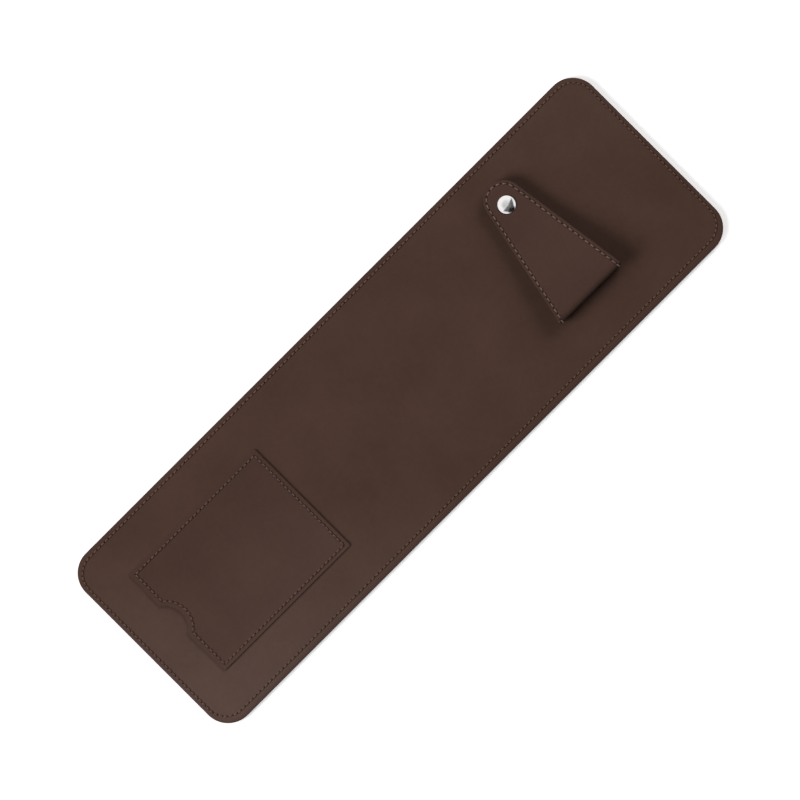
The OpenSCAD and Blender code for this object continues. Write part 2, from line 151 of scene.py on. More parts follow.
def make(name, verts, faces, material, rest=None, wear=None, seam=None, sharp=40, weld=False,
         closed=True):
    """A mesh object from millimetre points. rest is where the texture sits, wear and seam are 0 to 1 masks
    (seam is painted shade), sharp is in degrees, and closed fills any open boundary."""
    mesh = bpy.data.meshes.new(name)
    mesh.from_pydata((np.asarray(verts, float) * MM).tolist(), [], faces)
    rest = np.asarray(verts if rest is None else rest, float) * MM
    kinds = [("rest", "FLOAT_VECTOR", "vector", rest)]
    for key, values in (("wear", wear), ("seam", seam)):
        values = np.zeros(len(verts)) if values is None else np.asarray(values, float)
        kinds.append((key, "FLOAT", "value", values))
    for key, kind, field, values in kinds:
        layer = mesh.attributes.new(key, kind, "POINT")
        layer.data.foreach_set(field, np.ascontiguousarray(values, dtype=np.float32).ravel())
    work = bmesh.new()
    work.from_mesh(mesh)
    if weld:
        bmesh.ops.remove_doubles(work, verts=work.verts, dist=0.004 * MM)
    open_edges = [e for e in work.edges if e.is_boundary]
    if closed and open_edges:
        bmesh.ops.holes_fill(work, edges=open_edges, sides=0)
    bmesh.ops.recalc_face_normals(work, faces=work.faces)
    work.to_mesh(mesh)
    work.free()
    mesh.shade_smooth()
    mesh.set_sharp_from_angle(angle=math.radians(sharp))
    mesh.materials.append(material)
    ob = bpy.data.objects.new(name, mesh)
    bpy.context.scene.collection.objects.link(ob)
    return ob


def hole_depth(points, holes, width):
    """How deep a needle hole pulls each point down, 0 to 1."""
    tree = KDTree(len(holes))
    for i, h in enumerate(holes):
        tree.insert((h[0], h[1], h[2]), i)
    tree.balance()
    far = np.array([tree.find(p)[2] for p in np.asarray(points, float)])
    return np.exp(-(far / width) ** 2)


# ---- threads ----

AROUND, ALONG = 12, 11
ARCH, TWIST = 0.3, 2.2  # rise of a stitch's middle in thread radii, and its twist in radians to a millimetre
SLANT, UNEVEN = 0.05, 0.035  # the stitches' lean in radians, and how much it varies


def stitch_mesh(name, stitches, radius, material, sink=0.55):
    """Stitches, each (middle, direction, up, length): a twisted, arched thread that dives into its holes."""
    u = np.linspace(-1, 1, ALONG)
    phi = np.arange(AROUND) * 2 * math.pi / AROUND
    verts, faces, where = [], [], []
    for k, (mid, along, up, length) in enumerate(stitches):
        mid, along, up = (np.asarray(v, float) for v in (mid, along, up))
        along = along / np.linalg.norm(along)
        side = np.cross(up, along)
        side /= np.linalg.norm(side)
        up = np.cross(along, side)
        lean = SLANT + RNG.normal(0, UNEVEN)
        along = along * math.cos(lean) + side * math.sin(lean)
        side = np.cross(up, along)
        base = len(verts) * AROUND
        for ui in u:
            fall = abs(ui) ** 4
            rise = radius * ARCH * (1 - ui * ui) - fall * sink
            centre = mid + along * (ui * length / 2) + up * rise
            plump = radius * math.sqrt(1.0 - 0.7 * abs(ui) ** 5)
            turn = phi - ui * length * TWIST
            groove = 1.0 + 0.10 * np.cos(3 * turn)
            wide = np.cos(phi) * plump * groove * 1.08
            high = np.sin(phi) * plump * groove * 0.92
            ring = centre + np.outer(wide, side) + np.outer(high, up)
            verts.append(ring)
            where.append(ring + np.array([0, 0, k * 0.37]))
        faces += skin(ALONG, AROUND, start=base)
        faces.append([base + i for i in range(AROUND)][::-1])
        faces.append([base + (ALONG - 1) * AROUND + i for i in range(AROUND)])
    verts = np.concatenate(verts)
    return make(name, verts, faces, material, rest=np.concatenate(where), sharp=70)


# ---- pad ----

STEP = 8  # mesh points to each stitch of the perimeter
SEAM_L = PAD_L - 2 * SEAM_END
SEAM_W = PAD_W - SEAM_FRONT - SEAM_REAR
SEAM_Y = (SEAM_FRONT - SEAM_REAR) / 2
SEAM_R = PAD_R - (SEAM_END + SEAM_REAR) / 2
SIDE_N = round((SEAM_L - 2 * SEAM_R) / SEAM_PITCH)
END_N = round((SEAM_W - 2 * SEAM_R) / SEAM_PITCH)
CORNER_N = round(SEAM_R * math.pi / 2 / SEAM_PITCH)


def rounded_path(l, w, r, cy):
    """A rounded rectangle and its outward normals, anticlockwise from the end of its -X, -Y corner, with the
    same number of points for any size."""
    hx, hy = l / 2 - r, w / 2 - r
    out, nrm = [], []
    for (x0, y0), (x1, y1), n, (nx, ny) in (
        ((-hx, -w / 2), (hx, -w / 2), SIDE_N, (0, -1)),
        ((l / 2, -hy), (l / 2, hy), END_N, (1, 0)),
        ((hx, w / 2), (-hx, w / 2), SIDE_N, (0, 1)),
        ((-l / 2, hy), (-l / 2, -hy), END_N, (-1, 0)),
    ):
        f = np.arange(n * STEP)[:, None] / (n * STEP)
        out.append(np.array([x0, y0]) * (1 - f) + np.array([x1, y1]) * f)
        nrm.append(np.tile([nx, ny], (n * STEP, 1)))
        a = math.atan2(ny, nx) + np.arange(CORNER_N * STEP) / (CORNER_N * STEP) * math.pi / 2
        turn = np.stack([np.cos(a), np.sin(a)], 1)
        corner = np.array([x1, y1]) - r * np.array([nx, ny])
        out.append(corner + r * turn)
        nrm.append(turn)
    points = np.concatenate(out)
    points[:, 1] += cy
    return points, np.concatenate(nrm).astype(float)


SWELL = 0.10  # how far the leather swells between its edge and the seam
HOLE_REACH = 1.4  # rows further than this from the seam have no needle holes
BACK_SHIFT, POCKET_SHIFT = (0.0, 0.0, 50.0), (17.0, 5.0, 20.0)  # of the texture, so that no two pieces match

RIM, RIM_N = rounded_path(PAD_L, PAD_W, PAD_R, 0)
SEAM, SEAM_NRM = rounded_path(SEAM_L, SEAM_W, SEAM_R, SEAM_Y)
N_RIM = len(RIM)


def seam_shadow(far):
    """Mask of the painted shadow line beside a seam, from the distance to it."""
    return SEAM_SHADOW * np.exp(-(np.asarray(far, float) / SEAM_SHADOW_W) ** 2)


def flattened(points):
    """The points with a height of 0."""
    return np.concatenate([points[:, :2], np.zeros((len(points), 1))], 1)


def pad_sheet(name, z_in, out, thick, groove, hole, material):
    """One leather of the pad. z_in is the height of its inner face and out is 1 for the face, -1 for the
    back. groove is the depth of the seam's bed, negative for a ridge, and hole that of a needle hole."""
    rings, wear = [], []

    def ring(xy, h, w=0.0):
        rings.append(np.concatenate([xy, np.broadcast_to(h, (len(xy),))[:, None]], 1))
        wear.append(np.full(len(xy), w))

    e = EDGE_R
    ring(RIM - RIM_N * 0.05, 0.0, 1.0)
    ring(RIM, 0.12, 1.0)
    for a in (0, 18, 36, 54, 72, 90):
        c, s = math.cos(math.radians(a)), math.sin(math.radians(a))
        ring(RIM - RIM_N * e * (1 - c), thick - e + e * s, 0.95 - 0.45 * a / 90)
    gap = np.linalg.norm(RIM - SEAM, axis=1)
    inner = RIM - RIM_N * e
    for f in (0.15, 0.3, 0.44, 0.56, 0.67, 0.76, 0.84, 0.9, 0.95, 1.0):
        far = (1 - f) * (gap - e)
        height = thick + SWELL * np.sin(math.pi * f) - groove * np.exp(-(far / RIDGE_W) ** 2)
        ring(inner * (1 - f) + SEAM * f, height, 0.45 * (1 - f) ** 2)
    for d in (0.15, 0.3, 0.45, 0.65, 0.9, 1.25, 1.8, 2.6):
        ring(SEAM - SEAM_NRM * d,
             thick - groove * math.exp(-(d / RIDGE_W) ** 2) + SWELL / 2 * smoothstep(d / 2.6))
    fine = len(rings)
    holes = flattened(SEAM[::STEP])
    verts, seam = [], []
    for r in rings:
        near = np.min(np.linalg.norm(r[:, :2] - SEAM, axis=1)) < HOLE_REACH
        pull = hole_depth(flattened(r), holes, HOLE_W) if near else np.zeros(len(r))
        r[:, 2] -= pull * hole
        verts.append(r)
        # painted shade: needle holes and a line beside the seam, shifted away from the key lamp
        seam.append(np.maximum(pull, seam_shadow(np.sum((r[:, :2] - SEAM - SHADOW_SHIFT) * SEAM_NRM, axis=1))))
    faces = skin(fine, N_RIM)
    # inside the seam one point to a stitch is enough
    last = (fine - 1) * N_RIM
    m = N_RIM // STEP
    start = fine * N_RIM
    coarse = [SEAM[::STEP] - SEAM_NRM[::STEP] * d for d in (4.0, 6.0, 8.5)]
    spine_x = np.clip(coarse[-1][:, 0], -PAD_L / 2 + PAD_W / 2, PAD_L / 2 - PAD_W / 2)
    spine = np.stack([spine_x, np.full(m, SEAM_Y)], 1)
    for f in (0.12, 0.25, 0.4, 0.55, 0.7, 0.85, 1.0):
        coarse.append(coarse[2] * (1 - f) + spine * f)
    for i in range(m):
        j = (i + 1) % m
        outer = [last + (i * STEP + k) % N_RIM for k in range(STEP + 1)]
        faces.append(outer + [start + j, start + i])
    faces += skin(len(coarse), m, start=start)
    for c in coarse:
        h = thick + SWELL / 2 + SWELL / 2 * ripple(*c.T, wave=70, seed=3)
        verts.append(np.concatenate([c, h[:, None]], 1))
        seam.append(np.zeros(m))
        wear.append(np.zeros(m))
    verts = np.concatenate(verts)
    rest = verts + np.array(BACK_SHIFT if out < 0 else (0.0, 0.0, 0.0))
    height = verts[:, 2].copy()
    verts[:, 2] = z_in + out * height
    return make(name, verts, faces, material, rest=rest, wear=np.concatenate(wear),
                seam=np.concatenate(seam), weld=True)


def pad_stitches(name, z, out, radius, sink, material):
    """The perimeter's stitches at height z; out is 1 for the face, -1 for the back."""
    stitches = []
    for i in range(STEP // 2, N_RIM, STEP):
        along = SEAM[(i + STEP // 2) % N_RIM] - SEAM[i - STEP // 2]
        stitches.append(((*SEAM[i], z), (*along, 0), (0, 0, out), SEAM_DASH))
    return stitch_mesh(name, stitches, radius, material, sink=sink)


# ---- card pocket ----

SIDE_PTS_X, SIDE_PTS_Y, CORNER_PTS = 186, 138, 4
MOUTH_PTS_REAR, NOTCH_PTS, MOUTH_PTS_FRONT = 60, 66, 66


def pocket_path(d):
    """The pocket's outline inset by d, anticlockwise from the mouth's front corner. Its count of points is
    always the same."""
    x0, x1, y0, y1 = POCKET_X0 + d, POCKET_X1 - d, POCKET_Y0 + d, POCKET_Y1 - d
    reach = math.sqrt((NOTCH_R + d) ** 2 - (NOTCH_OUT + d) ** 2)
    r = max(POCKET_CORNER - d, 0.05)
    half = math.degrees(math.asin(reach / (NOTCH_R + d)))
    out = []

    def line(a, b, n):
        f = np.arange(n)[:, None] / n
        out.append(np.array(a) * (1 - f) + np.array(b) * f)

    def arc(c, rad, a0, a1, n):
        a = np.radians(a0 + (a1 - a0) * np.arange(n) / n)
        out.append(np.array(c) + rad * np.stack([np.cos(a), np.sin(a)], 1))

    line((x0 + r, y0), (x1 - r, y0), SIDE_PTS_X)
    arc((x1 - r, y0 + r), r, -90, 0, CORNER_PTS)
    line((x1, y0 + r), (x1, y1 - r), SIDE_PTS_Y)
    arc((x1 - r, y1 - r), r, 0, 90, CORNER_PTS)
    line((x1 - r, y1), (x0 + r, y1), SIDE_PTS_X)
    arc((x0 + r, y1 - r), r, 90, 180, CORNER_PTS)
    line((x0, y1 - r), (x0, NOTCH[1] + reach), MOUTH_PTS_REAR)
    arc(NOTCH, NOTCH_R + d, half, -half, NOTCH_PTS)
    line((x0, NOTCH[1] - reach), (x0, y0 + r), MOUTH_PTS_FRONT)
    arc((x0 + r, y0 + r), r, 180, 270, CORNER_PTS)
    return np.concatenate(out)


SKIVE, SKIVE_W = 0.12, 1.8


def pocket_skive():
    """How much each point of the outline is pared: nothing at the front and inner sides, most at the rear
    and the mouth."""
    ramp = np.linspace(0, 1, CORNER_PTS)
    plain = np.zeros(SIDE_PTS_X + CORNER_PTS + SIDE_PTS_Y)
    rear = np.ones(SIDE_PTS_X + CORNER_PTS + MOUTH_PTS_REAR)
    return SKIVE * np.concatenate([plain, ramp, rear, np.full(NOTCH_PTS, 0.5), np.ones(MOUTH_PTS_FRONT),
                                   ramp[::-1]])


def pocket_lift(x, y):
    """How far the pocket's leather stands off the pad."""
    front, rear, end = (smoothstep((t - POCKET_RIM) / POCKET_RUN)
                        for t in (y - POCKET_Y0, POCKET_Y1 - y, POCKET_X1 - x))
    return POCKET_RISE * front * rear * end


def pocket_rows():
    """The pocket's stitches: (middle, direction) pairs in plan, and the needle holes."""
    x0, x1 = POCKET_X0 + POCKET_SEAM, POCKET_X1 - POCKET_SEAM
    y0, y1 = POCKET_Y0 + POCKET_SEAM, POCKET_Y1 - POCKET_SEAM
    r = NOTCH_R + POCKET_SEAM
    a = math.acos((x0 - NOTCH[0]) / r)
    ya, yb = NOTCH[1] - r * math.sin(a), NOTCH[1] + r * math.sin(a)
    mids, holes = [], []

    def on_notch(b):
        return np.array(NOTCH) + r * np.array([math.cos(b), math.sin(b)])

    def straight(p, q):
        p, q = np.array(p), np.array(q)
        n = round(np.linalg.norm(q - p) / SEAM_PITCH)
        for i in range(n):
            mids.append((p + (q - p) * (i + 0.5) / n, q - p))
        for i in range(n + 1):
            holes.append(p + (q - p) * i / n)

    straight((x0, y0), (x1, y0))
    straight((x1, y0), (x1, y1))
    straight((x1, y1), (x0, y1))
    straight((x0, y1), (x0, yb))
    straight((x0, ya), (x0, y0))
    n = round(2 * a * r / SEAM_PITCH)
    for i in range(n):
        b = -a + (i + 0.5) / n * 2 * a
        mids.append((on_notch(b), np.array([-math.sin(b), math.cos(b)])))
    for i in range(n + 1):
        holes.append(on_notch(-a + i / n * 2 * a))
    return mids, np.array(holes)


TO_SPINE = (0.15, 0.3, 0.5, 0.75, 1.0)


def pocket_sheet(name, z_low, z_high, insets_top, insets_low, start, material, groove=0.0, holes=None):
    """A curved leather from z_low to z_high at its rim, with its outline inset by start. insets_top and
    insets_low are its rows of points; with holes it is pared at the edge and has a seam."""
    n = len(pocket_path(0))
    pared = pocket_skive() if holes is not None else np.zeros(n)
    rows, wear, inset = [], [], []

    def add(d, z, w=0.0, upper=False):
        p = pocket_path(start + d)
        cut = pared * (1 - smoothstep(d / SKIVE_W)) if upper else 0
        rows.append(np.concatenate([p, (z - cut + pocket_lift(*p.T))[:, None]], 1))
        wear.append(np.full(n, w))
        inset.append(d - POCKET_SEAM)

    def inner(z):
        p = rows[-1][:, :2]
        half = POCKET_W / 2
        spine_x = np.clip(p[:, 0], POCKET_X0 + half, POCKET_X1 - half)
        s = np.stack([spine_x, np.full(n, (POCKET_Y0 + POCKET_Y1) / 2)], 1)
        for f in TO_SPINE:
            q = p * (1 - f) + s * f
            rows.append(np.concatenate([q, (z + pocket_lift(*q.T))[:, None]], 1))
            wear.append(np.zeros(n))
            inset.append(NO_SEAM)

    # underside from the spine outwards, then the edge, then the upper side inwards
    add(insets_low[-1], z_low)
    inner(z_low)
    rows.reverse()
    inset.reverse()
    for d in reversed(insets_low[:-1]):
        add(d, z_low)
    e = min(CUT_R, (z_high - z_low) * 0.35)
    add(0, z_low + 0.03, 0.6)
    for a in (0, 30, 60, 90):
        c, s = math.cos(math.radians(a)), math.sin(math.radians(a))
        add(e * (1 - c), z_high - e + e * s, 0.9 - 0.4 * a / 90, True)
    for d in insets_top:
        dip = groove * math.exp(-((d - POCKET_SEAM) / POCKET_RIDGE_W) ** 2)
        add(d, z_high - dip, 0.35 * max(0, 1 - d / 1.2), True)
    inner(z_high)
    verts = np.concatenate(rows)
    seam = np.zeros(len(verts))
    if holes is not None:
        upper = np.arange(len(verts)) >= (len(rows) - len(insets_top) - len(TO_SPINE)) * n
        # painted shade: needle holes and a line beside the seam, shifted away from the key lamp
        seam = hole_depth(flattened(verts), flattened(holes), HOLE_W) * upper
        verts[:, 2] -= seam * POCKET_HOLE
        inward = pocket_path(POCKET_SEAM) - pocket_path(0)
        shadow_inward = inward @ SHADOW_SHIFT / np.linalg.norm(inward, axis=1)
        seam = np.maximum(seam, seam_shadow(np.repeat(inset, n) - np.tile(shadow_inward, len(inset))) * upper)
    faces = skin(len(rows), n)
    return make(name, verts, faces, material, rest=verts + np.array(POCKET_SHIFT),
                wear=np.concatenate(wear), seam=seam, weld=True)


# ---- pen loop ----

def tangent(corner, side):
    """Angle of the line from a corner of the fold that touches the tip's arc on its left (side 1) or on its
    right (side -1)."""
    v = TIP - corner
    return math.atan2(v[1], v[0]) + side * math.asin(TIP_R / np.linalg.norm(v))


# the loop's -X side is -1 and its +X side is 1
CORNERS = {-1: np.array([LOOP_X - LOOP_W / 2, FOLD_EDGE]),
           1: np.array([LOOP_X + LOOP_W / 2 - LOOP_PARED, FOLD_EDGE])}
ANGLES = {-1: tangent(CORNERS[-1], 1), 1: tangent(CORNERS[1], -1)}
NORMALS = {-1: np.array([-math.sin(ANGLES[-1]), math.cos(ANGLES[-1])]),
           1: np.array([math.sin(ANGLES[1]), -math.cos(ANGLES[1])])}


def side_x(s, d, y):
    """X of the loop's side at y, moved inwards by d."""
    return CORNERS[s][0] - s * d / math.sin(ANGLES[s]) + (y - FOLD_EDGE) / math.tan(ANGLES[s])


def leaf_z(y):
    """Height of the flap's outer face at y: level at the fold, eased down towards the snap."""
    t = np.clip((np.asarray(y, float) - CUT_Y) / (BEND_Y - CUT_Y), 0, 1)
    return TIP_TOP + (LEAF_TOP - TIP_TOP) * (1 + np.cos(math.pi * t)) / 2


def seam_x(s, y):
    """X of the loop's seam at y; the seam as a whole sits a little to the -X side."""
    return side_x(s, LOOP_SEAM, y) + LOOP_SEAM_DX


SIDE_PTS, ARC_PTS = 200, 72


def loop_path(d):
    """The leaf's outline inset by d, from the cut at the fold up the -X side, round the tip and back down."""
    out = []
    up = np.arange(SIDE_PTS) / SIDE_PTS
    top = {s: TIP[1] + (TIP_R - d) * NORMALS[s][1] for s in (-1, 1)}
    y = CUT_Y + up * (top[-1] - CUT_Y)
    out.append(np.stack([side_x(-1, d, y), y], 1))
    a0 = math.atan2(NORMALS[-1][1], NORMALS[-1][0])
    a1 = math.atan2(NORMALS[1][1], NORMALS[1][0])
    a = a0 + (a1 - a0) * np.arange(ARC_PTS + 1) / ARC_PTS
    out.append(TIP + (TIP_R - d) * np.stack([np.cos(a), np.sin(a)], 1))
    y = CUT_Y + (1 - (np.arange(SIDE_PTS) + 1) / SIDE_PTS) * (top[1] - CUT_Y)
    out.append(np.stack([side_x(1, d, y), y], 1))
    return np.concatenate(out)


def spine_path():
    """The leaf's middle line, with one point for each of loop_path's."""
    up = np.arange(SIDE_PTS) / SIDE_PTS
    y = np.concatenate([CUT_Y + up * (TIP[1] - CUT_Y), np.full(ARC_PTS + 1, TIP[1]),
                        CUT_Y + (1 - (np.arange(SIDE_PTS) + 1) / SIDE_PTS) * (TIP[1] - CUT_Y)])
    x = np.where(y < TIP[1], (side_x(-1, 0, y) + side_x(1, 0, y)) / 2, TIP[0])
    blend = smoothstep((y - CUT_Y) / (TIP[1] - CUT_Y))
    return np.stack([x * (1 - blend) + TIP[0] * blend, y], 1)


def loop_section(o_out, o_in, groove_out, groove_in):
    """The ply's section from the middle of its outer face, over its edge, to the middle of its inner face.
    Each entry is (inset or None for the middle, offset from the loop's outer face, wear)."""
    def dip(d):
        return math.exp(-((d - LOOP_SEAM) / LOOP_GROOVE_W) ** 2)

    flat = (9.4, 7.0, 5.0, 3.8, 3.1, 2.7, 2.4, 2.15, 1.9, 1.65, 1.4, 1.1, 0.75, 0.45)
    e = CUT_R
    section = [(None, o_out, 0.0)]
    section += [(d, o_out - groove_out * dip(d), 0.5 * max(0, 1 - d / 0.9)) for d in flat]
    section += [(e, o_out, 0.7), (e * 0.3, o_out - e * 0.3, 0.9), (0.0, o_out - e, 1.0),
                (0.0, (o_out + o_in) / 2, 1.0),
                (0.0, o_in + e, 1.0), (e * 0.3, o_in + e * 0.3, 0.9), (e, o_in, 0.7)]
    section += [(d, o_in + groove_in * dip(d), 0.0) for d in reversed(flat)]
    section.append((None, o_in, 0.0))
    return section


def loop_pull(section, offset, holes_near, hole):
    """How far each point is pulled outwards at the needle holes. hole is the depth in the section's first
    and last face."""
    first, last = section[0][1], section[-1][1]
    return holes_near * np.where(np.abs(offset - first) < np.abs(offset - last), -hole[0], hole[1])


def leaf_ply(name, section, upper, holes, hole, material, shift):
    """A leaf from its cut at the fold to the tip: the flap's if upper, else the base's. hole is the depth of
    the needle holes in the ply's outer and inner face, and shift moves its texture."""
    rows, wear, offset = [], [], []
    for d, o, w in section:
        p = spine_path() if d is None else loop_path(d)
        z = leaf_z(p[:, 1]) + o if upper else TOP - o
        rows.append(np.concatenate([p, np.broadcast_to(z, (len(p),))[:, None]], 1))
        wear.append(np.full(len(p), w))
        offset.append(np.full(len(p), o))
    n = len(rows[0])
    verts = np.concatenate(rows)
    offset = np.concatenate(offset)
    near = hole_depth(flattened(verts), flattened(holes), LOOP_HOLE_W)
    near *= np.repeat([0.0 if d is None or d < HOLE_MARGIN else 1.0 for d, _, _ in section], n)
    verts[:, 2] += loop_pull(section, offset, near, hole) * (1 if upper else -1)
    # painted shade: needle holes and a dark line along the seam
    dark = [0.0 if d is None else seam_shadow(d - LOOP_SEAM) for d, _, _ in section]
    seam = np.maximum(near, np.repeat(dark, n))
    faces = skin(len(rows), n, closed=False)
    # texture lies on the leather as if it were unrolled from the fold
    along = (verts[:, 1] - FOLD_Y) + FOLD_HALF
    rest = np.stack([verts[:, 0], along if upper else -along, offset + shift], 1)
    return make(name, verts, faces, material, rest=rest, wear=np.concatenate(wear), seam=seam, weld=True)


def fold_curve(count=2001):
    """The fold's outer face as dense points from the flap's leaf to the base's: their y, their z and the
    length up to each."""
    b = np.linspace(math.pi / 2, -math.pi / 2, count)
    y = FOLD_Y - FOLD_REACH * np.cos(b) ** (2 / FOLD_POWER)
    z = FOLD_Z + FOLD_R * np.sign(np.sin(b)) * np.abs(np.sin(b)) ** (2 / FOLD_POWER)
    run = np.concatenate([[0], np.cumsum(np.hypot(np.diff(y), np.diff(z)))])
    return y, z, run


FOLD_CURVE = fold_curve()
FOLD_HALF = FOLD_CURVE[2][-1] / 2


def fold_at(s):
    """(y, z, outward y, outward z) on the fold's outer face; s is the length from its middle, positive
    upwards."""
    y = float(np.interp(FOLD_HALF - s, FOLD_CURVE[2], FOLD_CURVE[0]))
    z = float(np.interp(FOLD_HALF - s, FOLD_CURVE[2], FOLD_CURVE[1]))
    out = max((FOLD_Y - y) / FOLD_REACH, 0.0) ** (FOLD_POWER - 1) / FOLD_REACH
    up = math.copysign(abs((z - FOLD_Z) / FOLD_R) ** (FOLD_POWER - 1) / FOLD_R, z - FOLD_Z)
    size = math.hypot(out, up)
    return y, z, -out / size, up / size


def fold_rows():
    """(y, z, outward y, outward z, unrolled length) along the fold, from the flap's cut to the base's."""
    rows = []
    for y in np.linspace(CUT_Y, FOLD_Y, 4)[:-1]:
        rows.append((y, LEAF_TOP, 0.0, 1.0, y - FOLD_Y + FOLD_HALF))
    for s in np.linspace(FOLD_HALF, -FOLD_HALF, 53):
        rows.append(fold_at(s) + (s,))
    for y in np.linspace(FOLD_Y, CUT_Y, 4)[1:]:
        rows.append((y, TOP, 0.0, -1.0, -(y - FOLD_Y) - FOLD_HALF))
    return rows


def fold_ply(name, section, holes, hole, material, shift):
    """The ply where it turns over; its two cut ends match the leaves'. It takes what leaf_ply takes."""
    loop = [(d, o, w, -1) for d, o, w in section]
    loop += [(d, o, w, 1) for d, o, w in reversed(section) if d is not None]
    steps = fold_rows()
    verts, wear, rest, pulled, offset = [], [], [], [], []
    for y, z, ny, nz, s in steps:
        for d, o, w, side in loop:
            if d is None:
                x = (side_x(-1, 0, CUT_Y) + side_x(1, 0, CUT_Y)) / 2
            else:
                x = side_x(side, d, y)
            verts.append((x, y + ny * o, z + nz * o))
            rest.append((x, s, o + shift))
            wear.append(w)
            offset.append(o)
            pulled.append(0.0 if d is None or d < HOLE_MARGIN else 1.0)
    n = len(loop)
    m = len(steps)
    verts, rest, offset = np.array(verts), np.array(rest), np.array(offset)
    near = hole_depth(flattened(rest), holes, LOOP_HOLE_W) * np.array(pulled)
    normal = np.repeat([(0.0, ny, nz) for _, _, ny, nz, _ in steps], n, axis=0)
    verts += normal * loop_pull(section, offset, near, hole)[:, None]
    # painted shade: needle holes and a dark line along the seam
    far = np.array([NO_SEAM if d is None else d - LOOP_SEAM for d, _, _, _ in loop])
    seam = np.maximum(near, np.tile(seam_shadow(far), m))
    faces = skin(m, n)
    return make(name, verts, faces, material, rest=rest, wear=wear, seam=seam)


def loop_rows():
    """The loop's stitches in plan: (middle, direction) pairs, and the needle holes, on a leaf."""
    mids, holes = [], []
    for s in (-1, 1):
        a = ANGLES[s]
        y1 = TIP[1] + (TIP_R - LOOP_SEAM) * NORMALS[s][1]
        n = round((y1 - FOLD_Y) / math.sin(a) / LOOP_PITCH)
        for i in range(n + 1):
            y = FOLD_Y + i / n * (y1 - FOLD_Y)
            holes.append((seam_x(s, y), y))
            if i < n:
                y = FOLD_Y + (i + 0.5) / n * (y1 - FOLD_Y)
                mids.append(((seam_x(s, y), y), (math.cos(a), math.sin(a))))

    def on_tip(b):
        r = TIP_R - LOOP_SEAM
        return TIP + np.array([LOOP_SEAM_DX, 0]) + r * np.array([math.cos(b), math.sin(b)])

    a0 = math.atan2(NORMALS[1][1], NORMALS[1][0])
    a1 = math.atan2(NORMALS[-1][1], NORMALS[-1][0])
    n = round((TIP_R - LOOP_SEAM) * (a1 - a0) / LOOP_PITCH)
    for i in range(n):
        a = a0 + (i + 0.5) / n * (a1 - a0)
        mids.append((on_tip(a), (-math.sin(a), math.cos(a))))
        holes.append(on_tip(a0 + i / n * (a1 - a0)))
    return mids, np.array(holes)


def fold_stitch_rows():
    """Stitches over the fold: (middle, direction, outward), and the needle holes on the unrolled leather."""
    n = round(math.pi * FOLD_R / LOOP_PITCH)
    mids, holes = [], []
    for side in (-1, 1):
        for i in range(n + 1):
            s = (i / n * 2 - 1) * FOLD_HALF
            holes.append((seam_x(side, fold_at(s)[0]), s, 0))
        for i in range(1, n):
            s = ((i + 0.5) / n * 2 - 1) * FOLD_HALF
            y, z, ny, nz = fold_at(s)
            mids.append(((seam_x(side, y), y, z), (nz / math.tan(ANGLES[side]), nz, -ny), (0, ny, nz)))
    return mids, np.array(holes)


# ---- materials ----

def shader(name):
    mat = bpy.data.materials.new(name)
    mat.use_nodes = True
    return mat, mat.node_tree, mat.node_tree.nodes["Principled BSDF"]


def node(tree, kind, inputs=(), **settings):
    n = tree.nodes.new(kind)
    for key, value in settings.items():
        setattr(n, key, value)
    for key, value in dict(inputs).items():
        if isinstance(value, bpy.types.NodeSocket):
            tree.links.new(value, n.inputs[key])
        else:
            n.inputs[key].default_value = value
    return n


def math_node(tree, op, a, b=0.0, clamp=False):
    return node(tree, "ShaderNodeMath", {0: a, 1: b}, operation=op, use_clamp=clamp).outputs[0]


def mix_colour(tree, fac, a, b, blend="MIX"):
    return node(tree, "ShaderNodeMix", {0: fac, 6: a, 7: b}, data_type="RGBA", blend_type=blend).outputs[2]


def weighted(tree, a, share_a, b, share_b):
    a, b = math_node(tree, "MULTIPLY", a, share_a), math_node(tree, "MULTIPLY", b, share_b)
    return math_node(tree, "ADD", a, b)


def spread(tree, value, low, high, to_low, to_high):
    """The value, with the range from low to high mapped to another."""
    return node(tree, "ShaderNodeMapRange", {0: value, 1: low, 2: high, 3: to_low, 4: to_high}).outputs[0]


def where(tree, mapped=True):
    """Texture coordinates: the rest attribute on a mesh made here, object coordinates on a CAD node."""
    if mapped:
        return node(tree, "ShaderNodeAttribute", attribute_name="rest").outputs["Vector"]
    return node(tree, "ShaderNodeTexCoord").outputs["Object"]


def mask(tree, name):
    """A mesh's wear or seam mask."""
    return node(tree, "ShaderNodeAttribute", attribute_name=name).outputs["Fac"]


def noise(tree, vec, scale, detail=3.0, rough=0.5, distort=0.0):
    return node(tree, "ShaderNodeTexNoise", {"Vector": vec, "Scale": scale, "Detail": detail,
                                             "Roughness": rough, "Distortion": distort}).outputs[0]


def bump(tree, bsdf, height, strength, distance):
    n = node(tree, "ShaderNodeBump", {"Height": height, "Strength": strength, "Distance": distance})
    tree.links.new(n.outputs[0], bsdf.inputs["Normal"])


def rgb(*c):
    """Linear colour from 0-255 sRGB values."""
    return tuple(((v / 255 + 0.055) / 1.055) ** 2.4 if v > 10 else v / 255 / 12.92 for v in c) + (1.0,)


def shade(colour, share):
    """The colour made darker or lighter by a factor."""
    return tuple(v * share for v in colour[:3]) + (1.0,)


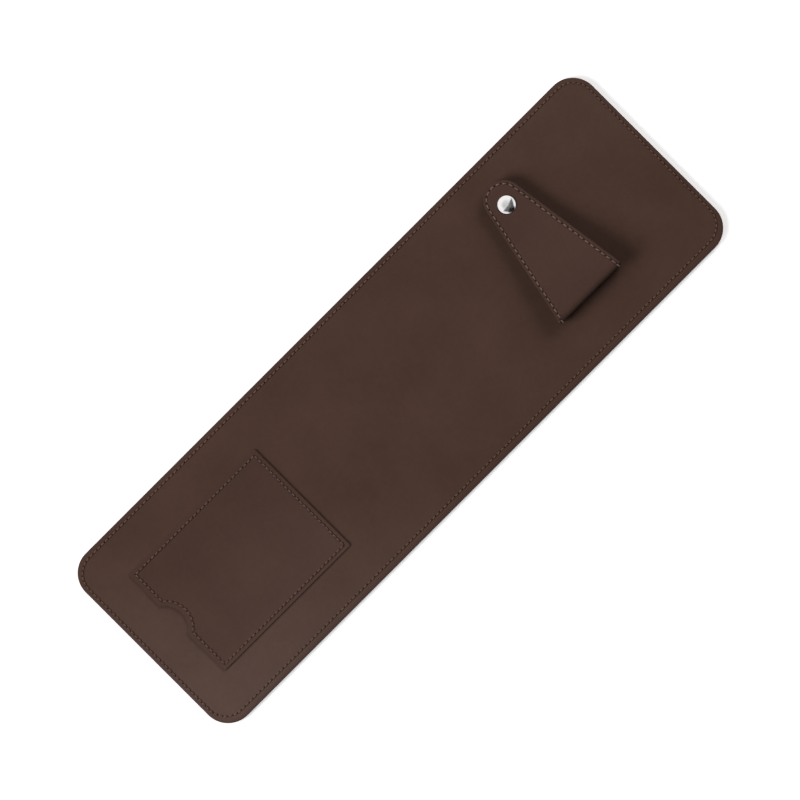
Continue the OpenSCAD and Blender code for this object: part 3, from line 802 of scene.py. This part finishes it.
def leather(name, colour, edge, grain=1.0, rough=(0.5, 0.66), painted_light=()):
    """Smooth full-grain leather: fine grain cells, pores and soft mottling, with burnished edges, and painted
    shade in the needle holes and beside the seams. Each broad patch of painted light is a lighter colour, a
    direction, and where along it in metres that painted light begins and ends."""
    mat, tree, bsdf = shader(name)
    vec = where(tree)
    cloud = noise(tree, vec, 28, 4, 0.55)
    fleck = noise(tree, vec, 420, 5, 0.6)
    warp = node(tree, "ShaderNodeTexNoise", {"Vector": vec, "Scale": 520.0, "Detail": 2.0})
    small = node(tree, "ShaderNodeVectorMath", {0: warp.outputs["Color"], 3: 0.0005}, operation="SCALE")
    bent = node(tree, "ShaderNodeVectorMath", {0: vec, 1: small.outputs[0]}, operation="ADD")
    cells = node(tree, "ShaderNodeTexVoronoi", {"Vector": bent.outputs[0], "Scale": 1150.0},
                 feature="SMOOTH_F1").outputs["Distance"]
    pits = node(tree, "ShaderNodeTexVoronoi", {"Vector": vec, "Scale": 640.0}, feature="F1")
    pore = spread(tree, pits.outputs["Distance"], 0.0, 0.16, 1.0, 0.0)
    vein = noise(tree, vec, 95, 6, 0.65, 0.6)
    tone = weighted(tree, cloud, 0.7, fleck, 0.3)
    base = colour
    # broad patches of painted light, lighter along a direction
    for lit_colour, direction, start, end in painted_light:
        slant = node(tree, "ShaderNodeVectorMath", {0: vec, 1: direction}, operation="DOT_PRODUCT")
        base = mix_colour(tree, spread(tree, slant.outputs["Value"], start, end, 0.0, 1.0), base, lit_colour)
    light, dim = (mix_colour(tree, 1.0, base, (k, k, k, 1), "MULTIPLY") for k in (1.1, 0.9))
    base = mix_colour(tree, spread(tree, tone, 0.34, 0.66, 0.0, 1.0), dim, light)
    base = mix_colour(tree, math_node(tree, "MULTIPLY", pore, 0.22), base, shade(colour, 0.45))
    worn = math_node(tree, "MULTIPLY", mask(tree, "wear"), spread(tree, fleck, 0.35, 0.65, 0.65, 1.0), True)
    base = mix_colour(tree, worn, base, edge)
    # painted shade: needle holes and the line beside each seam are painted near black
    dark = spread(tree, mask(tree, "seam"), 0.25, 0.9, 0.0, 0.95)
    base = mix_colour(tree, dark, base, shade(colour, 0.12))
    tree.links.new(base, bsdf.inputs["Base Color"])
    matt = weighted(tree, vein, 0.6, cells, 0.4)
    tree.links.new(spread(tree, matt, 0.3, 0.7, rough[0], rough[1]), bsdf.inputs["Roughness"])
    bsdf.inputs["Specular IOR Level"].default_value = 0.05
    high = weighted(tree, cells, 0.55, vein, 0.5)
    high = math_node(tree, "SUBTRACT", high, math_node(tree, "MULTIPLY", pore, 0.5))
    bump(tree, bsdf, high, 0.32 * grain, 0.00016)
    return mat


def suede(name, colour):
    """Napped lining: short fibres, patches brushed light and dark."""
    mat, tree, bsdf = shader(name)
    vec = where(tree)
    nap = noise(tree, vec, 1500, 4, 0.7)
    brushed = noise(tree, vec, 60, 4, 0.6, 1.2)
    fibre = noise(tree, vec, 700, 6, 0.75, 0.8)
    base = mix_colour(tree, spread(tree, brushed, 0.35, 0.65, 0, 1), shade(colour, 0.78), shade(colour, 1.2))
    base = mix_colour(tree, math_node(tree, "MULTIPLY", spread(tree, nap, 0.4, 0.65, 0, 1), 0.4), base,
                      shade(colour, 0.6))
    tree.links.new(base, bsdf.inputs["Base Color"])
    bsdf.inputs["Roughness"].default_value = 0.92
    bsdf.inputs["Specular IOR Level"].default_value = 0.12
    bsdf.inputs["Sheen Weight"].default_value = 0.35
    bsdf.inputs["Sheen Roughness"].default_value = 0.4
    high = math_node(tree, "ADD", nap, math_node(tree, "MULTIPLY", fibre, 0.8))
    bump(tree, bsdf, high, 0.55, 0.00022)
    return mat


def twine(name, colour, rough=0.55):
    """Waxed sewing thread: fine fibres along the ply and a slightly uneven dye."""
    mat, tree, bsdf = shader(name)
    vec = where(tree)
    fibre = noise(tree, vec, 2600, 4, 0.7, 0.4)
    dye = noise(tree, vec, 240, 3, 0.5)
    base = mix_colour(tree, spread(tree, dye, 0.3, 0.7, 0, 1), shade(colour, 0.84), shade(colour, 1.14))
    base = mix_colour(tree, math_node(tree, "MULTIPLY", spread(tree, fibre, 0.45, 0.7, 0, 1), 0.35), base,
                      shade(colour, 0.55))
    tree.links.new(base, bsdf.inputs["Base Color"])
    tree.links.new(spread(tree, fibre, 0.3, 0.7, rough - 0.08, rough + 0.12), bsdf.inputs["Roughness"])
    bsdf.inputs["Specular IOR Level"].default_value = 0.4
    bsdf.inputs["Sheen Weight"].default_value = 0.15
    bump(tree, bsdf, fibre, 0.4, 0.00008)
    return mat


def painted_edge(name, colour):
    """Board whose cut edge is sealed with edge paint: layered fibres under a satin coat."""
    mat, tree, bsdf = shader(name)
    vec = where(tree, False)
    stretched = node(tree, "ShaderNodeVectorMath", {0: vec, 1: (1.0, 1.0, 14.0)}, operation="MULTIPLY")
    layer = noise(tree, stretched.outputs[0], 160, 5, 0.6)
    fleck = noise(tree, vec, 900, 4, 0.6)
    base = mix_colour(tree, spread(tree, layer, 0.35, 0.65, 0, 1), shade(colour, 0.75), shade(colour, 1.25))
    tree.links.new(base, bsdf.inputs["Base Color"])
    tree.links.new(spread(tree, fleck, 0.3, 0.7, 0.38, 0.55), bsdf.inputs["Roughness"])
    bump(tree, bsdf, layer, 0.3, 0.00015)
    return mat


def plated(name, colour, rough, mapped):
    """Polished nickel plate with faint hairlines and handling marks."""
    mat, tree, bsdf = shader(name)
    vec = where(tree, mapped)
    stretched = node(tree, "ShaderNodeVectorMath", {0: vec, 1: (1.0, 9.0, 1.0)}, operation="MULTIPLY")
    hair = noise(tree, stretched.outputs[0], 900, 4, 0.6)
    smear = noise(tree, vec, 260, 4, 0.55, 0.5)
    base = mix_colour(tree, smear, shade(colour, 0.95), shade(colour, 1.03))
    tree.links.new(base, bsdf.inputs["Base Color"])
    bsdf.inputs["Metallic"].default_value = 1.0
    tree.links.new(spread(tree, smear, 0.3, 0.75, rough, rough + 0.07), bsdf.inputs["Roughness"])
    bump(tree, bsdf, hair, 0.04, 0.00002)
    return mat


# painted light: the pad's hide lighter towards its -X, -Y end and its +X, +Y corner, the pocket's towards its
# -Y side
HIDE = leather("hide_smooth", rgb(81, 60, 52), rgb(75, 55, 48), painted_light=(
    (rgb(94, 74, 67), (-0.8, -1.2, 0.0), 0.06, 0.18), (rgb(87, 66, 58), (1.0, 1.2, 0.0), 0.165, 0.24)))
HIDE_POCKET = leather("hide_pocket", rgb(77, 57, 50), rgb(76, 56, 50), painted_light=(
    (rgb(87, 66, 59), (0.0, -1.0, 0.0), -0.03, 0.03),))
HIDE_LOOP = leather("hide_loop", rgb(81, 60, 53), rgb(71, 52, 46))
HIDE_BACK = leather("hide_back", rgb(64, 49, 44), rgb(50, 38, 34), grain=1.5, rough=(0.6, 0.78))
SUEDE = suede("suede_lining", rgb(86, 66, 56))
EDGE = painted_edge("edge_paint", rgb(52, 37, 31))
THREAD = twine("thread_brown", rgb(97, 71, 59))
THREAD_LOOP = twine("thread_tan", rgb(119, 96, 86), 0.6)
NICKEL = plated("nickel_polished", (0.87, 0.86, 0.855), 0.11, True)
NICKEL_CAD = plated("nickel_inner", (0.74, 0.73, 0.71), 0.16, False)


# ---- pieces ----

ride_pad, ride_flap = [], []

piece = pad_sheet("pad_face_leather", FACE_Z, 1, FACE_T, -RIDGE, PAD_HOLE, HIDE)
ride_pad.append(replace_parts(piece, "pad_face"))
piece = pad_sheet("pad_back_leather", BACK_T, -1, BACK_T - SWELL, BACK_GROOVE, BACK_HOLE, HIDE_BACK)
ride_pad.append(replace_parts(piece, "pad_back"))
piece = pad_stitches("pad_stitches", TOP + THREAD_LIFT, 1, SEAM_THREAD, THREAD_SINK, THREAD)
ride_pad.append(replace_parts(piece, "pad_thread"))
piece = pad_stitches("pad_back_stitches", BACK_Z, -1, BACK_THREAD, BACK_SINK, THREAD)
ride_pad.append(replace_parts(piece, "back_thread"))

rows_xy, pocket_holes = pocket_rows()
piece = pocket_sheet(
    "pocket_leather", TOP, TOP + POCKET_T,
    (0.6, 1.0, 1.4, 1.75, 2.0, 2.2, 2.35, 2.5, 2.65, 2.8, 3.0, 3.3, 3.8, 4.6, 6, 8, 10.5, 13, 16),
    (0.0, 4.0, 9.0, 14.0), 0.0, HIDE_POCKET, groove=-RIDGE, holes=pocket_holes)
ride_pad.append(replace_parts(piece, "pocket_panel"))
piece = pocket_sheet("pocket_suede", TOP - LINING_T, TOP - 0.02, (1.0, 4.0, 8.0), (0.0, 4.0, 8.0),
                     LINING_IN, SUEDE)
ride_pad.append(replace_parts(piece, "pocket_lining"))
pocket_stitches = []
for m, t in rows_xy:
    t = t / np.linalg.norm(t)
    ahead = m + t * 0.5
    lift = float(pocket_lift(*m))
    slope = (float(pocket_lift(*ahead)) - lift) / 0.5
    pocket_stitches.append(((*m, TOP + POCKET_T + THREAD_LIFT + lift), (*t, slope), (0, 0, 1), SEAM_DASH))
piece = stitch_mesh("pocket_stitches", pocket_stitches, SEAM_THREAD, THREAD, sink=THREAD_SINK)
ride_pad.append(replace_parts(piece, "pocket_thread"))

leaf_mids, leaf_holes = loop_rows()
curl_mids, curl_holes = fold_stitch_rows()
leather_up = loop_section(0.0, -LEATHER_T, LOOP_GROOVE, 0.0)
suede_up = loop_section(-LEATHER_T, -PLY, 0.0, SUEDE_GROOVE)
leather_hole, suede_hole, no_hole = (LOOP_HOLE, 0.0), (0.0, SUEDE_HOLE), (0.0, 0.0)
piece = leaf_ply("loop_flap_leather", leather_up, True, leaf_holes, leather_hole, HIDE_LOOP,
                 0.0)
ride_flap.append(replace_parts(piece, "flap_leather"))
piece = leaf_ply("loop_flap_suede", suede_up, True, leaf_holes, suede_hole, SUEDE, SUEDE_SHIFT)
ride_flap.append(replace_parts(piece, "flap_lining"))
piece = leaf_ply("loop_base_leather", leather_up, False, leaf_holes, no_hole, HIDE_LOOP, 0.0)
ride_pad.append(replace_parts(piece, "base_leather"))
piece = leaf_ply("loop_base_suede", suede_up, False, leaf_holes, suede_hole, SUEDE, SUEDE_SHIFT)
ride_pad.append(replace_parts(piece, "base_lining"))
fold_pieces = []
piece = fold_ply("loop_fold_leather", leather_up, curl_holes, leather_hole, HIDE_LOOP, 0.0)
fold_pieces.append(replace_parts(piece, "fold_leather"))
piece = fold_ply("loop_fold_suede", suede_up, curl_holes, suede_hole, SUEDE, SUEDE_SHIFT)
fold_pieces.append(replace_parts(piece, "fold_lining"))

flap_stitches, base_stitches, fold_stitches = [], [], []
for (x, y), (tx, ty) in leaf_mids:
    z = float(leaf_z(y))
    slope = (float(leaf_z(y + 0.5)) - float(leaf_z(y - 0.5))) * ty
    flap_stitches.append(((x, y, z + LOOP_LIFT), (tx, ty, slope), (0, 0, 1), LOOP_DASH))
    flap_stitches.append(((x, y, z - PLY + SUEDE_LIFT), (tx, ty, slope), (0, 0, -1), LOOP_DASH))
    base_stitches.append(((x, y, TOP + PLY - SUEDE_LIFT), (tx, ty, 0), (0, 0, 1), LOOP_DASH))
for mid, along, out in curl_mids:
    mid, out = np.array(mid), np.array(out)
    fold_stitches.append((mid + out * LOOP_LIFT, along, out, LOOP_DASH))
piece = stitch_mesh("loop_flap_stitches", flap_stitches, LOOP_THREAD, THREAD_LOOP)
ride_flap.append(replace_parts(piece, "flap_thread"))
piece = stitch_mesh("loop_base_stitches", base_stitches, LOOP_THREAD, THREAD_LOOP)
ride_pad.append(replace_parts(piece, "base_thread"))
piece = stitch_mesh("loop_fold_stitches", fold_stitches, LOOP_THREAD, THREAD_LOOP)
fold_pieces.append(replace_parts(piece, "fold_thread"))


# ---- snap cap ----

def lathe(name, profile, centre, material):
    """A closed turned shape from (radius, height) pairs; the first and last lie on the axis."""
    around = 96
    a = np.arange(around) / around * 2 * math.pi
    verts, faces = [(0.0, 0.0, profile[0][1])], []
    for r, z in profile[1:-1]:
        verts += [(r * math.cos(t), r * math.sin(t), z) for t in a]
    verts.append((0.0, 0.0, profile[-1][1]))
    n = len(profile) - 2
    for i in range(around):
        j = (i + 1) % around
        faces.append([0, 1 + j, 1 + i])
        faces.append([len(verts) - 1, 1 + (n - 1) * around + i, 1 + (n - 1) * around + j])
    faces += skin(n, around, start=1)
    verts = np.array(verts) + np.array([centre[0], centre[1], 0])
    return make(name, verts, faces, material, sharp=50)


def cap_profile():
    """From the barrel's foot up under the rim, round the rolled rim and over the dome."""
    foot = TIP_TOP - PLY - 0.5
    out = [(0.0, foot), (1.85, foot), (1.9, foot + 0.05), (1.9, foot + 0.15), (1.85, foot + 0.2),
           (1.3, foot + 0.24), (1.3, TIP_TOP - 0.02)]
    for a in np.radians(np.linspace(-90, 62, 12)):
        out.append((CAP_R - CAP_RIM + CAP_RIM * math.cos(a),
                    TIP_TOP + CAP_RIM + CAP_RIM * math.sin(a) - 0.02))
    r0, z0 = out[-1]
    rise = TIP_TOP + CAP_H - z0
    ball = (r0 * r0 + rise * rise) / (2 * rise)
    for a in np.linspace(math.asin(r0 / ball), 0, 26)[1:-1]:
        out.append((ball * math.sin(a), TIP_TOP + CAP_H - ball + ball * math.cos(a)))
    out.append((0.0, TIP_TOP + CAP_H))
    return out


ride_flap.append(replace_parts(lathe("snap_cap_dome", cap_profile(), SNAP, NICKEL), "snap_cap"))

for piece in ride_pad:
    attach(piece, "pad")
for piece in ride_flap:
    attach(piece, "flap")
for piece in fold_pieces:
    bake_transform(piece)

for name, material in (("pad_core", EDGE), ("snap_socket", NICKEL_CAD), ("snap_spring", NICKEL_CAD),
                       ("snap_stud", NICKEL_CAD), ("snap_post", NICKEL_CAD)):
    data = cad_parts[name].data
    data.materials.clear()
    data.materials.append(material)


# ---- stage ----

def blank(name):
    """A material with no nodes yet."""
    mat = bpy.data.materials.new(name)
    mat.use_nodes = True
    mat.node_tree.nodes.clear()
    return mat, mat.node_tree


def seen_by(tree, rays, plain, seen):
    """The plain shader, and the other one for the kinds of ray named."""
    path = node(tree, "ShaderNodeLightPath")
    hit = path.outputs[rays[0]]
    for ray in rays[1:]:
        hit = math_node(tree, "MAXIMUM", hit, path.outputs[ray])
    return node(tree, "ShaderNodeMixShader", {0: hit, 1: plain.outputs[0], 2: seen.outputs[0]}).outputs[0]


def floor_material():
    """White paper: a plain diffuse white that the camera sees a little lifted, so that only real shadow
    shows."""
    mat, tree = blank("floor_white")
    paper = node(tree, "ShaderNodeBsdfDiffuse", {"Color": (0.93, 0.93, 0.93, 1)})
    glow = node(tree, "ShaderNodeEmission", {"Color": (1, 1, 1, 1), "Strength": 0.5})
    both = node(tree, "ShaderNodeAddShader", {0: paper.outputs[0], 1: glow.outputs[0]})
    pick = seen_by(tree, ("Is Camera Ray", "Is Transmission Ray"), paper, both)
    node(tree, "ShaderNodeOutputMaterial", {0: pick})
    return mat


FLOOR_HALF, FLOOR_Z = 3000.0, -0.02
floor_corners = [(x * FLOOR_HALF, y * FLOOR_HALF, FLOOR_Z)
                 for x, y in ((-1, -1), (1, -1), (1, 1), (-1, 1))]
floor = make("floor", floor_corners, [[0, 1, 2, 3]], floor_material())

# the world is white to the camera and in reflections, and lights the pad only a little
WORLD_FILL = 0.015
world = bpy.data.worlds.new("studio")
bpy.context.scene.world = world
world.use_nodes = True
wt = world.node_tree
wt.nodes.clear()
fill = node(wt, "ShaderNodeBackground", {"Color": (1.0, 0.99, 0.985, 1), "Strength": WORLD_FILL})
bright = node(wt, "ShaderNodeBackground", {"Color": (1, 1, 1, 1)})
pick = seen_by(wt, ("Is Camera Ray", "Is Glossy Ray", "Is Transmission Ray"), fill, bright)
node(wt, "ShaderNodeOutputWorld", {0: pick})


def toward(azimuth, elevation):
    """Unit vector at an azimuth from the part's +X axis and an elevation, in degrees."""
    a, e = math.radians(azimuth), math.radians(elevation)
    return np.array([math.cos(e) * math.cos(a), math.cos(e) * math.sin(a), math.sin(e)])


LAMP_FAR = 2.3


def lamp(name, azimuth, elevation, share, size, colour=(1, 1, 1)):
    """A square softbox aimed at the pad and unseen in the metal. share is the part of a level surface's
    brightness that it gives, and size is in metres."""
    data = bpy.data.lights.new(name, "AREA")
    data.energy = share * math.pi ** 2 * LAMP_FAR ** 2 / math.sin(math.radians(elevation))
    data.size, data.color = size, colour
    ob = bpy.data.objects.new(name, data)
    ob.location = LAMP_FAR * toward(azimuth, elevation)
    ob.rotation_euler = (-Vector(ob.location)).to_track_quat("-Z", "Y").to_euler()
    ob.visible_glossy = False
    bpy.context.scene.collection.objects.link(ob)


lamp("key", 160, 35, 0.53, 1.3, (0.99, 1.0, 1.0))
lamp("fill_right", 16, 34, 0.28, 1.3, (1.0, 0.97, 0.95))
lamp("fill_rear", 85, 35, 0.025, 0.7)


def glossy_card(name, far, corners):
    """A dim panel that only reflections show, as the unlit part of a studio does: a fan of triangles about
    its first corner, far millimetres from the snap. Each corner is an azimuth, an elevation and a grey
    level."""
    mat, tree = blank(name)
    # the wear attribute here holds each corner's grey glow, a glow that only reflections see
    glow = node(tree, "ShaderNodeEmission", {"Color": mask(tree, "wear")})
    node(tree, "ShaderNodeOutputMaterial", {0: glow.outputs[0]})
    verts = [far * toward(azimuth, elevation) for azimuth, elevation, _ in corners]
    faces = [[0, i, i + 1] for i in range(1, len(corners) - 1)]
    card = make(name, verts, faces, mat, wear=[level for _, _, level in corners], closed=False)
    card.location = (SNAP[0] * MM, SNAP[1] * MM, 0)
    for ray in ("camera", "diffuse", "transmission", "volume_scatter", "shadow"):
        setattr(card, "visible_" + ray, False)


MIDDLE = (154, 75, 0.56)
glossy_card("card_grey", 1600.0, [MIDDLE] + [(30 * k, 62, 0.85) for k in range(13)])
glossy_card("card_dark", 1400.0, [(-86, 36, 0.0), (10, 43, 0.12), (-84, 82, 0.24), (-162, 50, 0.06)])
glossy_card("card_black", 1300.0,
            [(-86, 69, 0.02), (-54, 48, 0.0), (-78, 6, 0.0), (-98, 6, 0.0), (-119, 48, 0.0)])

VIEW_MM = 401.8  # width of the picture at the height of the pad's face
CAM_Y, CAM_Z = 0.3 * MM, 5.0
SENSOR = 36
camera_data = bpy.data.cameras.new("camera")
camera_data.sensor_width = SENSOR
camera_data.lens = SENSOR * (CAM_Z - TOP * MM) / (VIEW_MM * MM)
camera = bpy.data.objects.new("camera", camera_data)
camera.location = (0, CAM_Y, CAM_Z)
camera.rotation_euler = (0, 0, math.radians(-45))
bpy.context.scene.collection.objects.link(camera)
bpy.context.scene.camera = camera
bpy.context.scene.view_settings.view_transform = "Standard"
